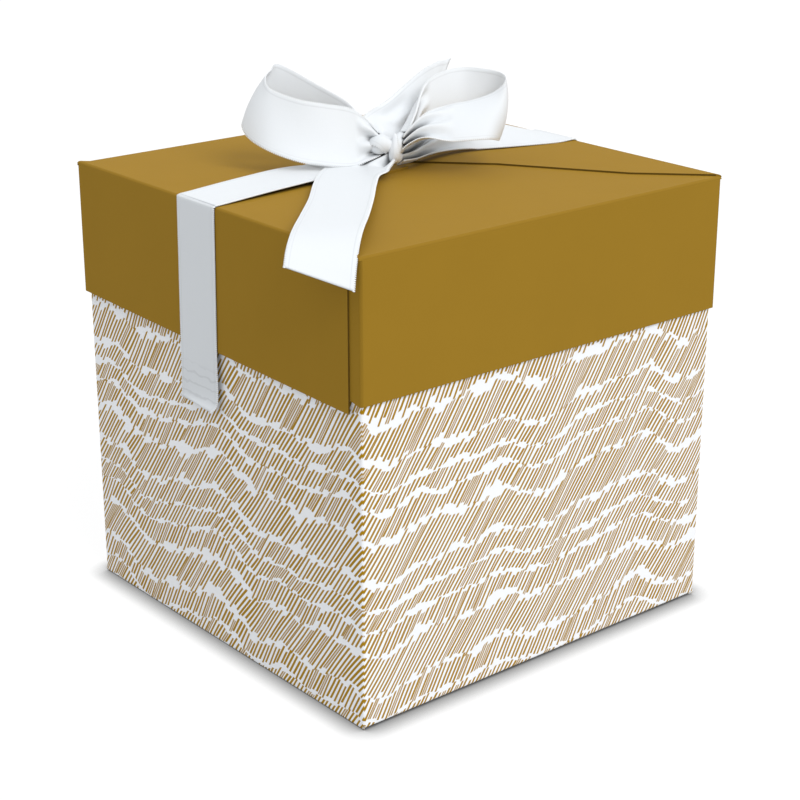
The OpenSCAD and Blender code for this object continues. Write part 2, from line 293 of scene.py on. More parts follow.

# %% [markdown]
# On the lid three kinds of cut edge show, each as a thin dark line of painted shade for the narrow
# gap there that little light reaches: the seams between the top flaps, the end of the skirt that is
# glued over the tab, and the lower rim. The lines could be thin solids, but the board has those
# edges already. So each is a mask: a thin slice of space at the end of a sheet, times the way that
# its face points.

# %% Cut edges of the lid
layer_blur = 0.1 * board
top_layer = 1.1 * board
skirt_layer = 1.2 * board
seam_inset = 0.9 * MM
glued_end_inset = 1 * MM
square_on = 0.9
corner_width = 1.3 * MM
knot_reach = 0.12 * lid_half


def on_lid_edge(tree):
    """1 on the lid's cut edges that show: the flaps' seams, the free end of the glued skirt, and
    the underside of all four skirts."""
    x, y, z = coordinates(tree, "Object")
    nx, ny, nz = coordinates(tree, "Normal")
    inset = lid_half - x.size().math("MAXIMUM", y.size())
    in_top_layer = (z - (lid_top - top_layer)).step(layer_blur)
    seam = in_top_layer * (standing - nz.size()).step(turn_blur) * (inset - seam_inset).step(hair)
    in_skirt = (x.size() - (lid_half - skirt_layer)).step(layer_blur)
    at_its_end = (ny.size() - square_on).step(turn_blur)
    glued_end = in_skirt * at_its_end * (lid_half - glued_end_inset - y.size()).step(hair)
    underside = (nz * -1 - lying).step(turn_blur) * (lid_middle - z).step(MM)
    return seam.math("MAXIMUM", glued_end).math("MAXIMUM", underside)


def under_knot(tree):
    """1 where the knot stands over the seams."""
    x, y, _ = coordinates(tree, "Object")
    return (knot_reach - x.size() - y.size()).step(MM)


def on_lid_corner(tree):
    """1 in the lid's four upright corners, where the print goes round the end of the sheet."""
    x, y, _ = coordinates(tree, "Object")
    return (x.size().math("MINIMUM", y.size()) - (lid_half - corner_width)).step(hair)

# %% [markdown]
# The lid is one flat ochre with a dull coat. What keeps it from looking like plastic is small: a
# faint cloud in the ink, the paper's grain under it, and a darker colour along each rounded crease.
# Painted shade darkens its seams, its cut edges and the places where surfaces nearly touch. All of
# it is noise and the masks above, so it follows the lid if its size changes.

# %% Ochre board
OCHRE = (0.325, 0.183, 0.017)
# The dark of the lid's painted shade, on its cut edges and where surfaces nearly touch.
PAINTED_OCHRE_SHADE = (0.060, 0.036, 0.006)
cloud_scale = 90
cloud_share = 0.03
crease_darker_share = 0.87
crease_least, crease_spread = 0.7, 0.6
edge_shade_strength = 0.8
tooth_scale = 2600
tooth_depth = 0.02 * MM


def ochre_board():
    material, tree, shader = new_material("ochre_board", roughness=0.7, gloss=0.08)
    cloud = grain(tree, cloud_scale, detail=3)
    ink = blend_colors(tree, cloud, shade(OCHRE, 1 - cloud_share), shade(OCHRE, 1 + cloud_share))
    # Darker along the rounded creases, broken up by the cloud.
    crease_darkening = on_crease(tree) * (cloud * crease_spread + crease_least)
    crease_darkening = crease_darkening.math("MINIMUM", 1)
    ink = blend_colors(tree, crease_darkening, ink, shade(OCHRE, crease_darker_share))
    # Painted shade where the lid's surfaces nearly touch, along its seams and folds.
    ink = painted_crevice_shade(tree, ink, PAINTED_OCHRE_SHADE)
    edge = on_lid_edge(tree)
    inked = facing_outside(tree).math("MAXIMUM", edge).math("MAXIMUM", on_lid_corner(tree))
    color = blend_colors(tree, inked, BARE_BOARD, ink)
    # Painted shade along the cut edges, left out under the knot.
    painted_edge_shade = edge * (1 - under_knot(tree)) * edge_shade_strength
    color = blend_colors(tree, painted_edge_shade, color, PAINTED_OCHRE_SHADE)
    tooth = grain(tree, tooth_scale, detail=3)
    finish(tree, shader, color, tooth, tooth_depth, strength=0.35)
    return material


def dress(names, material):
    """Gives some nodes of the frame a new material."""
    for name in names:
        slots = nodes[name].data.materials
        slots.clear()
        slots.append(material)
    print(f"{material.name}: {len(names)} nodes, {len(material.node_tree.nodes)} shader nodes")


dress([name for name in nodes if name.startswith("lid_")], ochre_board())

# %% [markdown]
# The base carries a hatch: short slanted pen strokes in wavy rows. No image is needed for that,
# because the rule is simple. The surface is cut into wavy rows and each row into slanted cells, and
# every cell rolls its own dice for where its stroke begins and ends, how thick it is and how it
# leans. One stroke in seven is a pair with a thin wash of ink between. Even rows and odd rows are
# two layers, so a long stroke can reach in between those of the next row.

# %% Rows of the hatch
row_height = 6.4 * MM
wave_length, wave_height = 43 * MM, 1.9 * MM
wave_shift = 0.8
swell_length, swell_height = 26 * MM, 1.6 * MM
bend_scale, bend_height = 45, 9 * MM
bend_flatness, bend_seed = 0.25, 4.0


def wavy_height(tree, u, v):
    """The height that counts for the rows, so that rows of equal height run in waves and bends."""
    swing = u * (2 * math.pi / wave_length)
    wave = (swing + swing.sine() * wave_shift).sine() * wave_height
    wander = noise(tree, combine(tree, u, v * bend_flatness, bend_seed), bend_scale, detail=1)
    return v + wave + (wander - 0.5) * bend_height


def wide_and_narrow(height):
    """The same height with a swell, which makes some rows taller than others."""
    return height + (height * (2 * math.pi / swell_length)).sine() * swell_height

# %% One pen stroke
stroke_pitch, stroke_width = 1.20 * MM, 0.60 * MM
place_spread, turn_spread = 0.30, 0.5
thinnest, width_spread = 0.85, 0.3
pair_share, pair_extra_width, pair_blur = 0.14, 0.7, 0.02
wash_share, wash_strength = 0.42, 0.6
side_blur, end_blur = 0.08, 0.03
overrun_low, overrun_high, end_spread = 0.08, 0.06, 0.24
opening_scale, opening_above = 120, 0.9


def stroke_across(along, across, first, second, third):
    """Ink across a cell: one line with soft sides, or a pair with a wash between them."""
    paired = (third - (1 - pair_share)).step(pair_blur)
    centre = (second - 0.5) * place_spread + (first - 0.5) * (along - 0.5) * turn_spread
    thickness = first * width_spread + thinnest + paired * pair_extra_width
    half = thickness * (stroke_width / stroke_pitch / 2)
    aside = (across - centre).size()
    washed_out = (half * wash_share - aside).step(side_blur) * paired * wash_strength
    return (half - aside).step(side_blur) - washed_out


def stroke_along(tree, place, along, first, second):
    """Ink along a cell. Here and there an opening draws the ends of all strokes back."""
    opening = (noise(tree, place, opening_scale, detail=1) - 0.5).math("MAXIMUM", 0)
    start = (along - first * end_spread + overrun_low - opening).step(end_blur)
    end = 1 + overrun_high - along - second * end_spread - opening * opening_above
    return start * end.step(end_blur)

# %% The hatch
stroke_slant, slant_spread = 0.62, 0.4
straightness = 0.65
opening_shift, opening_seed = 0.37, 8.0


def every_other_row(tree, u, v, layer):
    """Ink from 0 to 1 for the strokes of the even rows or of the odd rows, as layer is 0 or 1."""
    height = wavy_height(tree, u, v)
    rows = wide_and_narrow(height) / (2 * row_height) + 0.5 * layer
    row, along = rows.floor(), rows.fraction() * 2 - 0.5
    shift, tilt, _ = dice(tree, combine(tree, row, layer + 0.5, 0.5))
    lean = (tilt - 0.5) * slant_spread + stroke_slant
    slanted = u - (height * (1 - straightness) + v * straightness) * lean
    cells = slanted / stroke_pitch + shift
    cell, across = cells.floor(), cells.fraction() - 0.5
    first, second, third = dice(tree, combine(tree, cell, row, layer))
    place = combine(tree, u, row * opening_shift, layer + opening_seed)
    return (stroke_across(along, across, first, second, third)
            * stroke_along(tree, place, along, first, second))


def hatch(tree, u, v):
    return every_other_row(tree, u, v, 0).math("MAXIMUM", every_other_row(tree, u, v, 1))

# %% [markdown]
# The hatch was printed on the flat sheet, so it runs round the folded corners without a break. The
# walls could be unwrapped for that, but the four of them are nodes of their own. Instead the flat
# coordinates are worked out from the place and the direction of each face, as if a tape measure ran
# round the box. The ink is a little thin where the paper's tooth is low.

# %% Printed board
OCHRE_INK = (0.40, 0.218, 0.003)
PAPER = (0.965, 0.970, 0.985)
ink_cover, tooth_effect = 0.84, 0.5
fold_blur = 0.02


def around_the_base(tree):
    """Flat coordinates that run round the four walls without a break at the corners."""
    x, y, z = coordinates(tree, "Object")
    nx, ny, nz = coordinates(tree, "Normal")
    on_side = (nx.size() - ny.size()).step(fold_blur)
    on_back = ny.step(fold_blur)
    on_right = nx.step(fold_blur)
    front = x - base_low.x
    left = base_low.y - y
    back = (2 * base_high.y + 2 * base_high.x - base_low.x) - x
    right = (y - base_low.y) + (base_high.x - base_low.x)
    u = front.mix(back, on_back).mix(left.mix(right, on_right), on_side)
    underneath = nz.size().math("GREATER_THAN", lying)
    return u.mix(x, underneath), z.mix(y, underneath)


def printed_board():
    material, tree, shader = new_material("printed_board", roughness=0.6, gloss=0.1)
    u, v = around_the_base(tree)
    tooth = grain(tree, tooth_scale, detail=3)
    ink = (hatch(tree, u, v) * (tooth * tooth_effect + ink_cover)).math("MINIMUM", 1)
    printed = blend_colors(tree, ink, PAPER, OCHRE_INK)
    cut_rim_is_bare = (standing - coordinates(tree, "Normal")[2]).step(turn_blur)
    outside = facing_outside(tree) * cut_rim_is_bare
    color = blend_colors(tree, outside, BARE_BOARD, printed)
    finish(tree, shader, color, tooth, tooth_depth, strength=0.3)
    return material


dress([name for name in nodes if name.startswith(("base_", "bottom_"))], printed_board())

# %% [markdown]
# Double-sided tape holds the two ends of the ribbon on the lid. Only its edge ever shows, as a thin
# glassy line, so a plain pale film with a faint ripple is enough for it.

# %% Tape
FILM_DARK = (0.80, 0.79, 0.74)
FILM_LIGHT = (0.88, 0.87, 0.83)
film_scale = 700


def clear_tape():
    material, tree, shader = new_material("clear_tape", roughness=0.25)
    film = grain(tree, film_scale, detail=2)
    color = blend_colors(tree, film, FILM_DARK, FILM_LIGHT)
    finish(tree, shader, color, film, depth=0.02 * MM, strength=0.3)
    return material


dress(["ribbon_left_tape", "ribbon_right_tape"], clear_tape())

# %% [markdown]
# Satin shines along its long floats and scatters across them. The weave is far too fine to model,
# so it is a bump: warp lines that run along the ribbon, crossed by weft ribs, and a plain raised
# border. Beside the border a thin darker line of painted shade stands in for a shallow channel. The
# pattern follows the ribbon through its own UV map, in metres, because Object coordinates would cut
# straight through the loops. Only one face of the cloth is satin. The reverse is much duller, and
# that is what the eye sees inside a loop. It is also a little paler, as painted light that lifts
# the shade there. On the two ends that hang below the lid's edge, faint crease lines across the
# ribbon are painted as shade.

# %% The weave
ribbon_width = 13.2 * MM
warp_scale = (9000, 260)
weft_scale = (420, 5200)
warp_share = 0.6
weft_seed, ripple_seed = 3.0, 7.0
ripple_start, ripple_fade = 6 * MM, 2 * MM
ripple_pitch = 2.4 * MM
ripple_scale, ripple_wander = 420, 5
crest, crest_blur = 0.8, 0.3


def weave(tree, u, v):
    """Long warp floats along the ribbon, crossed by fine weft ribs."""
    long = combine(tree, u * warp_scale[0], v * warp_scale[1], 0.0)
    wide = combine(tree, u * weft_scale[0], v * weft_scale[1], weft_seed)
    warp, weft = (noise(tree, place, scale=1, detail=2) for place in (long, wide))
    return warp * warp_share + weft * (1 - warp_share)


def painted_crease_lines(tree, u, v):
    """1 on the crease lines across the ribbon, painted as shade, which start some way below the
    lid's edge.
    """
    z = coordinates(tree, "Object")[2]
    wander = noise(tree, combine(tree, u, v, ripple_seed), ripple_scale, detail=1)
    ripple = (v * (2 * math.pi / ripple_pitch) + wander * ripple_wander).sine()
    return (ripple - crest).step(crest_blur) * (lid_edge - ripple_start - z).step(ripple_fade)

# %% Satin and its reverse
SATIN = (0.742, 0.762, 0.779)
# The reverse is a little paler than the satin: painted light that lifts the shade inside the loops.
REVERSE_WITH_PAINTED_LIGHT = (0.80, 0.82, 0.838)
border_width = 0.75 * MM
groove_width = 0.24 * MM
sheen_weight, sheen_roughness = 0.14, 0.4
floats_shade, groove_painted_shade, crease_line_shade, crevice_shade = 0.955, 0.86, 0.78, 0.06
mark_strength = 0.6


def satin(name, color, gloss):
    material, tree, shader = new_material(name, roughness=0.42, gloss=gloss)
    shader.inputs["Sheen Weight"].default_value = sheen_weight
    shader.inputs["Sheen Roughness"].default_value = sheen_roughness
    u, v, _ = coordinates(tree, "UV")
    floats = weave(tree, u, v)
    inset = ribbon_width / 2 - (u - ribbon_width / 2).size()
    border = (border_width - inset).step(hair)
    painted_groove = (groove_width / 2 - (inset - border_width).size()).step(hair)
    cloth = blend_colors(tree, floats, shade(color, floats_shade), color)
    # Painted shade: a thin line beside the border, and crease lines on the hanging ends.
    for mark, darker in ((painted_groove, groove_painted_shade), (painted_crease_lines(tree, u, v), crease_line_shade)):
        cloth = blend_colors(tree, mark * mark_strength, cloth, shade(color, darker))
    # Painted shade between the folds at the knot and under the loops.
    cloth = painted_crevice_shade(tree, cloth, shade(color, crevice_shade))
    finish(tree, shader, cloth, floats + border, depth=0.04 * MM, strength=0.5)
    return material


satin_face = satin("satin_ribbon", SATIN, gloss=0.25)
satin_reverse_lit = satin("satin_reverse_lit", REVERSE_WITH_PAINTED_LIGHT, gloss=0.1)
print("satin and its reverse:", len(satin_face.node_tree.nodes), "shader nodes each")

# %% [markdown]
# A ribbon is one width all along. Where it looks narrow, it has only been gathered, and what it
# loses in spread it hides in folds. A cloth simulation could tie a bow, but hardly ever the one in
# the picture. So each strip is drawn as stations, and a row of numbers for each: three for its
# place, three for the vector across the ribbon as it looks there, and one for how far its middle
# bulges. A smooth curve joins them, and wherever the look is narrower than the cloth, pleats of
# just the right depth use the rest up.

# %% Rings along a smooth curve
ring_step = 0.55 * MM
rows_per_span = 24


def smooth(stations):
    """The smooth curve through rows of numbers (Catmull-Rom)."""
    rows = np.array(stations, float)
    ends = np.vstack([2 * rows[:1] - rows[1:2], rows, 2 * rows[-1:] - rows[-2:-1]])
    t = np.linspace(0, 1, rows_per_span, endpoint=False)[:, None]
    spans = [
        (2 * b + (c - a) * t + (2 * a - 5 * b + 4 * c - d) * t**2
         + (3 * b - a - 3 * c + d) * t**3) / 2
        for a, b, c, d in zip(ends, ends[1:], ends[2:], ends[3:])]
    return np.vstack(spans + [rows[-1:]])


def steps_along(points):
    """How far each point of a line is from the one before."""
    return np.linalg.norm(np.diff(points, axis=0), axis=1)


def even_rings(stations):
    """The smooth curve with its rows an equal way apart."""
    rows = smooth(stations)
    along = np.concatenate([[0], np.cumsum(steps_along(rows[:, :3]))])
    count = max(8, round(along[-1] / ring_step))
    wanted = np.linspace(0, along[-1], count + 1)
    return np.column_stack([np.interp(wanted, along, column) for column in rows.T])

# %% Pleats
columns = 36
pleats = 2.5
slack_share = 0.12


def unit(vectors):
    return vectors / np.linalg.norm(vectors, axis=1)[:, None]


def pleat_depth(spread):
    """How deep a zigzag of one fold must be for a ribbon that looks this wide."""
    look = np.minimum(spread / (1 - slack_share), ribbon_width)
    return np.sqrt(ribbon_width**2 - look**2) / 4


def strip(stations, phase=0.1, cut_slant=0.0):
    """A grid of points, one row for each ring of the strip. Its last end is cut at a slant."""
    rows = even_rings(stations)
    place, across, bulge = rows[:, :3], rows[:, 3:6], rows[:, 6]
    heading = unit(np.gradient(place, axis=0))
    normal = unit(np.cross(heading, across))
    side = np.linspace(-0.5, 0.5, columns + 1)
    fold = np.sin(2 * math.pi * (pleats * side + phase))
    depth = pleat_depth(np.linalg.norm(across, axis=1))[:, None] / pleats * fold[None, :]
    depth = depth + bulge[:, None] * (1 - (2 * side[None, :]) ** 2)
    points = (place[:, None, :] + across[:, None, :] * side[None, :, None]
              + normal[:, None, :] * depth[:, :, None])
    near_end = np.linspace(0, 1, len(rows)) ** 3
    slant = near_end[:, None] * side[None, :] * 2 * cut_slant
    return points + heading[:, None, :] * slant[:, :, None]

# %% [markdown]
# The grid of points becomes a sheet of squares, and Solidify gives it the thickness of ribbon with
# the reverse as the second material. The UV map is in metres, measured along the middle, so the
# weave keeps its size on every stretch, even where the strip is gathered.

# %% From points to a piece of ribbon
ribbon_thickness = 0.25 * MM


def strip_mesh(name, grids):
    """One mesh from grids of points, with a UV map in metres: across, then along."""
    vertices, faces, corners = [], [], []
    for points in grids:
        first = len(vertices)
        rings, wide = points.shape[:2]
        vertices += points.reshape(-1, 3).tolist()
        along = np.concatenate([[0], np.cumsum(steps_along(points[:, wide // 2]))])
        across = [j / (wide - 1) * ribbon_width for j in range(wide)]
        for i in range(rings - 1):
            for j in range(wide - 1):
                a = first + i * wide + j
                faces.append((a, a + wide, a + wide + 1, a + 1))
                corners += [(across[j], along[i]), (across[j], along[i + 1]),
                            (across[j + 1], along[i + 1]), (across[j + 1], along[i])]
    mesh = bpy.data.meshes.new(name)
    mesh.from_pydata(vertices, [], faces)
    layer = mesh.uv_layers.new(name="UVMap")
    layer.data.foreach_set("uv", np.array(corners, float).ravel())
    mesh.polygons.foreach_set("use_smooth", [True] * len(faces))
    return mesh


def ribbon_piece(name, grids, satin_side):
    """A strip with the ribbon's own thickness. satin_side is 1 where the satin is on the side that
    the mesh's normals point to, and -1 where it is on the other."""
    piece = bpy.data.objects.new(name, strip_mesh(name, grids))
    bpy.context.collection.objects.link(piece)
    for material in (satin_face, satin_reverse_lit)[::satin_side]:
        piece.data.materials.append(material)
    thickness = piece.modifiers.new("thickness", "SOLIDIFY")
    thickness.thickness = ribbon_thickness
    thickness.offset = 0
    thickness.material_offset = 1
    return piece

# %% [markdown]
# Satin ribbon has a woven edge: the weft turns round the last warp threads in tight little loops.
# They catch the light as a fine bright line along every rim. One loop is a small bead, and there
# are hundreds, so a Geometry Nodes tree places them: it reads the rim as a curve, resamples it at
# the stitch pitch, and puts a bead on each point, turned along the curve.

# %% Thread of the selvedge
THREAD = (0.84, 0.855, 0.865)
twist_scale = 3500


def selvedge_thread():
    material, tree, shader = new_material("selvedge_thread", roughness=0.5)
    twist = grain(tree, twist_scale, detail=2)
    color = blend_colors(tree, twist, shade(THREAD, 0.95), THREAD)
    finish(tree, shader, color, twist, depth=0.03 * MM, strength=0.4)
    return material


thread_material = selvedge_thread()
print("thread:", len(thread_material.node_tree.nodes), "shader nodes")

# %% One stitch and its turn
stitch_pitch = 0.46 * MM
stitch_size = (0.40 * MM, 0.62 * MM, 0.34 * MM)


def one_bead(put):
    """A ball one unit wide. It has few faces, because there are hundreds of it."""
    bead = put("GeometryNodeMeshUVSphere")
    bead.inputs["Segments"].default_value = 6
    bead.inputs["Rings"].default_value = 4
    bead.inputs["Radius"].default_value = 0.5
    return bead.outputs["Mesh"]


def stitch_turn(put, link):
    """A turn that lays the bead's x axis along the rim and its y axis across the ribbon."""
    heading, aside = put("GeometryNodeInputTangent"), put("GeometryNodeInputNamedAttribute")
    aside.data_type = "FLOAT_VECTOR"
    aside.inputs["Name"].default_value = "aside"
    turn, level = put("FunctionNodeAlignEulerToVector"), put("FunctionNodeAlignEulerToVector")
    turn.axis, level.axis, level.pivot_axis = "X", "Y", "X"
    link(heading.outputs["Tangent"], turn.inputs["Vector"])
    link(turn.outputs["Rotation"], level.inputs["Rotation"])
    link(aside.outputs["Attribute"], level.inputs["Vector"])
    return level.outputs["Rotation"]

# %% The tree of the selvedge
def selvedge_tree():
    tree = bpy.data.node_groups.new("selvedge", "GeometryNodeTree")
    for name, kind in (("Geometry", "Geometry"), ("Pitch", "Float"), ("Stitch size", "Vector"),
                       ("Thread", "Material")):
        tree.interface.new_socket(name, in_out="INPUT", socket_type="NodeSocket" + kind)
    tree.interface.new_socket("Geometry", in_out="OUTPUT", socket_type="NodeSocketGeometry")
    put, link = tree.nodes.new, tree.links.new
    source, result = put("NodeGroupInput"), put("NodeGroupOutput")
    curve, even = put("GeometryNodeMeshToCurve"), put("GeometryNodeResampleCurve")
    even.mode = "LENGTH"
    stitches, real = put("GeometryNodeInstanceOnPoints"), put("GeometryNodeRealizeInstances")
    smooth_faces, thread = put("GeometryNodeSetShadeSmooth"), put("GeometryNodeSetMaterial")
    link(source.outputs["Geometry"], curve.inputs["Mesh"])
    link(curve.outputs["Curve"], even.inputs["Curve"])
    link(source.outputs["Pitch"], even.inputs["Length"])
    link(even.outputs["Curve"], stitches.inputs["Points"])
    link(one_bead(put), stitches.inputs["Instance"])
    link(stitch_turn(put, link), stitches.inputs["Rotation"])
    link(source.outputs["Stitch size"], stitches.inputs["Scale"])
    link(stitches.outputs["Instances"], real.inputs["Geometry"])
    link(real.outputs["Geometry"], smooth_faces.inputs["Geometry"])
    link(smooth_faces.outputs["Geometry"], thread.inputs["Geometry"])
    link(source.outputs["Thread"], thread.inputs["Material"])
    link(thread.outputs["Geometry"], result.inputs["Geometry"])
    return tree


selvedge_nodes = selvedge_tree()
selvedge_inputs = {
    item.name: item.identifier for item in selvedge_nodes.interface.items_tree
    if item.in_out == "INPUT"}
print(f"selvedge: {len(selvedge_nodes.nodes)} nodes, a stitch every {stitch_pitch / MM:.2f} mm")

# %% From rims to a piece of selvedge
def rim_mesh(name, grids):
    """The two long edges of each strip as lines. Each point knows which way the ribbon ends."""
    vertices, edges, aside = [], [], []
    for points in grids:
        for rim, inner in ((0, 1), (-1, -2)):
            first = len(vertices)
            line = points[:, rim]
            vertices += line.tolist()
            aside += (line - points[:, inner]).tolist()
            edges += [(first + i, first + i + 1) for i in range(len(line) - 1)]
    mesh = bpy.data.meshes.new(name)
    mesh.from_pydata(vertices, edges, [])
    attribute = mesh.attributes.new("aside", "FLOAT_VECTOR", "POINT")
    attribute.data.foreach_set("vector", np.array(aside, float).ravel())
    return mesh


def selvedge_piece(name, grids):
    rims = bpy.data.objects.new(name + "_rims", rim_mesh(name + "_rims", grids))
    bpy.context.collection.objects.link(rims)
    stitching = rims.modifiers.new("selvedge", "NODES")
    stitching.node_group = selvedge_nodes
    stitching[selvedge_inputs["Pitch"]] = stitch_pitch
    stitching[selvedge_inputs["Stitch size"]] = stitch_size
    stitching[selvedge_inputs["Thread"]] = thread_material
    evaluated = rims.evaluated_get(bpy.context.evaluated_depsgraph_get())
    mesh = bpy.data.meshes.new_from_object(evaluated)
    mesh.name = name
    bpy.data.objects.remove(rims)
    piece = bpy.data.objects.new(name, mesh)
    bpy.context.collection.objects.link(piece)
    return piece

# %% [markdown]
# Each stretch of ribbon rides on the lid and takes the place of the plain solid of the same name,
# which is hidden. Its length is measured along its middle, and the selvedge goes wherever its strip
# goes.

# %% Put a strip on the lid
def add_ribbon(name, grids, satin_side=1):
    """Makes a strip with its selvedge, hangs both on the lid, and hides the plain solid it
    replaces.
    """
    piece = ribbon_piece(name, grids, satin_side)
    edge = selvedge_piece(name + "_selvedge", grids)
    for part in (piece, edge):
        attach(part, "lid")
    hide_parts("ribbon_" + name)

# %% [markdown]
# The two bands lie flat on the board. Each starts at its cut end below the lid's edge, runs up the
# skirt over the tape, turns over the lid's crease, and gathers as it nears the knot. On top their
# stations are shares of the lid's half width, of the ribbon's width and of the knot's height, so
# they follow the box if it changes. The last number is always a bulge in millimetres.

# %% A band's way up the skirt
tape_gap = -lid_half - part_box("ribbon_left_tape")[0].x
ribbon_off = tape_gap + ribbon_thickness / 2
crease_radius = 0.65 * MM
knot_height = 4 * MM


def band_side(side, y, lean, hang):
    """Stations up the skirt and over the crease. side is -1 on the left and 1 on the right."""
    turn = crease_radius + ribbon_off
    low, high = lid_edge - hang, lid_top - crease_radius
    out = lid_half + ribbon_off
    upright = [
        (side * out, y + lean * (1 - t), low + (high - low) * t, 0, ribbon_width, 0, 0)
        for t in np.linspace(0, 1, 5)[:-1]]
    over = [
        (side * (lid_half - crease_radius + turn * math.cos(a)), y, high + turn * math.sin(a),
         0, ribbon_width, 0, 0)
        for a in np.radians([0, 30, 60, 90])]
    return upright + over


def band_top(shares):
    return [
        (x * lid_half, y * ribbon_width, lid_top + ribbon_off + z * knot_height,
         *(ribbon_width * w for w in across), bulge * MM)
        for x, y, z, *across, bulge in shares]


print(f"the ribbon's middle lies {ribbon_off / MM:.2f} mm off the board")

# %% The left band
left_band_y, left_band_lean = 0.23 * ribbon_width, 0.08 * ribbon_width
left_hang = 12.5 * MM
curl_out, curl_length = 1.1 * MM, 2 * MM
curled_end = [
    (-lid_half - curl_out, 0.33 * ribbon_width, lid_edge - left_hang - curl_length,
     0.10 * ribbon_width, 0.99 * ribbon_width, 0, 0)]
left_band_shares = [
    (-0.965, 0.23, 0, 0, 1, 0, 0),
    (-0.67, 0.32, 0.14, -0.08, 1, 0, 0),
    (-0.39, 0.39, 0.20, -0.15, 0.96, 0, 0),
    (-0.20, 0.23, 0.20, -0.15, 0.60, 0, 0),
    (-0.13, 0.06, 0.20, -0.08, 0.30, 0, 0)]
left_band = strip(
    curled_end + band_side(-1, left_band_y, left_band_lean, left_hang)
    + band_top(left_band_shares))
add_ribbon("left_band", [left_band])

# %% The right band
right_band_y = 0.08 * ribbon_width
right_hang = 14.5 * MM
right_band_shares = [
    (0.965, 0.08, 0, 0, 1, 0, 0),
    (0.87, 0.12, 0.15, 0, 1, 0.11, 0),
    (0.63, 0.31, 0.62, 0, 0.89, 0.36, 0),
    (0.40, 0.45, 0.88, 0, 0.64, 0.48, 0),
    (0.21, 0.24, 0.66, 0, 0.38, 0.31, 0),
    (0.10, 0.06, 0.54, 0, 0.26, 0.24, 0),
    (0.01, -0.03, 0.52, 0, 0.20, 0.18, 0)]
right_band = strip(band_side(1, right_band_y, 0, right_hang) + band_top(right_band_shares))
add_ribbon("right_band", [right_band], -1)

# %% [markdown]
# The bow is drawn in its own frame, with the knot's middle at zero and the loops along the first
# axis, and then turned on the lid. A station's place is a share of how far its loop or tail
# reaches, so a loop can be made longer without being drawn again.

# %% The frame of the bow
bow_turn = math.radians(-40)
bow_centre = Vector((-0.10 * ribbon_width, -0.13 * ribbon_width, lid_top + knot_height))
turned = np.array([
    [math.cos(bow_turn), math.sin(bow_turn), 0],
    [-math.sin(bow_turn), math.cos(bow_turn), 0],
    [0, 0, 1]])


def bow_stations(shares, reach):
    """Stations on the lid from shares: place by the reach, across by the ribbon's width."""
    rows = np.array(shares, float)
    return np.column_stack([
        rows[:, :3] * reach @ turned + np.array(bow_centre),
        rows[:, 3:6] * ribbon_width @ turned,
        rows[:, 6] * MM])


print("the middle of the knot:", [round(v / MM, 1) for v in bow_centre], "mm")

# %% [markdown]
# A loop leaves the knot as a tight gather, opens to its full width, turns round at its far end and
# comes back behind itself. The left one leans forward and shows a broad front. The right one is
# turned more to the side, so that the eye looks into it. On both, the satin is on the outside of
# the turn and the reverse inside, as it is when one length of ribbon is tied.

# %% The left loop
left_loop_reach = 30 * MM
left_loop_shares = [
    (-0.12, -0.04, 0.07, 0, 0.05, 0.38, 0),
    (-0.20, -0.06, 0.10, 0, 0.20, 0.65, 0),
    (-0.32, -0.08, 0.12, 0, 0.32, 0.90, 0),
    (-0.50, -0.12, 0.15, 0, 0.35, 0.94, 0),
    (-0.70, -0.15, 0.19, 0, 0.35, 0.94, 0.5),
    (-0.91, -0.11, 0.26, 0.04, 0.34, 0.93, 0),
    (-1.01, 0.00, 0.33, 0.30, 0.28, 0.91, -0.7),
    (-1.01, 0.12, 0.39, 0.46, 0.26, 0.80, -0.7),
    (-0.90, 0.22, 0.385, 0.24, 0.08, 0.95, 0),
    (-0.57, 0.18, 0.235, 0, 0, 1, 0),
    (-0.37, 0.11, 0.135, 0, 0, 1, 0),
    (-0.25, 0.07, 0.08, 0, 0, 0.78, 0),
    (-0.12, 0.04, 0.07, 0, 0.01, 0.38, 0)]
left_loop = strip(bow_stations(left_loop_shares, left_loop_reach))
add_ribbon("left_loop", [left_loop], -1)

# %% The right loop
right_loop_reach = 25 * MM
right_loop_shares = [
    (0.08, -0.06, 0.11, 0, 0.05, 0.24, 0),
    (0.16, -0.06, 0.18, 0, 0.18, 0.30, 0),
    (0.27, -0.04, 0.245, 0, 0.46, 0.38, 0),
    (0.44, 0.00, 0.255, 0, 0.70, 0.46, 0.8),
    (0.64, 0.02, 0.275, 0, 0.80, 0.48, 0.8),
    (0.85, 0.06, 0.31, 0.05, 0.68, 0.62, 0.6),
    (0.95, 0.20, 0.33, 0.10, 0.22, 0.94, 1.0),
    (0.90, 0.42, 0.36, 0.08, 0.20, 0.97, 0.6),
    (0.64, 0.54, 0.38, 0, 0.30, 0.95, 0),
    (0.42, 0.46, 0.36, 0, 0.30, 0.92, 0),
    (0.24, 0.32, 0.30, 0, 0.25, 0.76, 0),
    (0.14, 0.14, 0.18, 0, 0.10, 0.44, 0),
    (0.08, 0.04, 0.12, 0, 0.01, 0.26, 0)]
right_loop = strip(bow_stations(right_loop_shares, right_loop_reach), phase=0.6)
add_ribbon("right_loop", [right_loop])

# %% [markdown]
# The two tails are the ribbon's free ends. The front one runs from under the knot to the lid's
# corner and bends down over it by its own weight. The back one stands up behind the right loop, and
# its end is cut at a slant, which keeps satin from fraying.

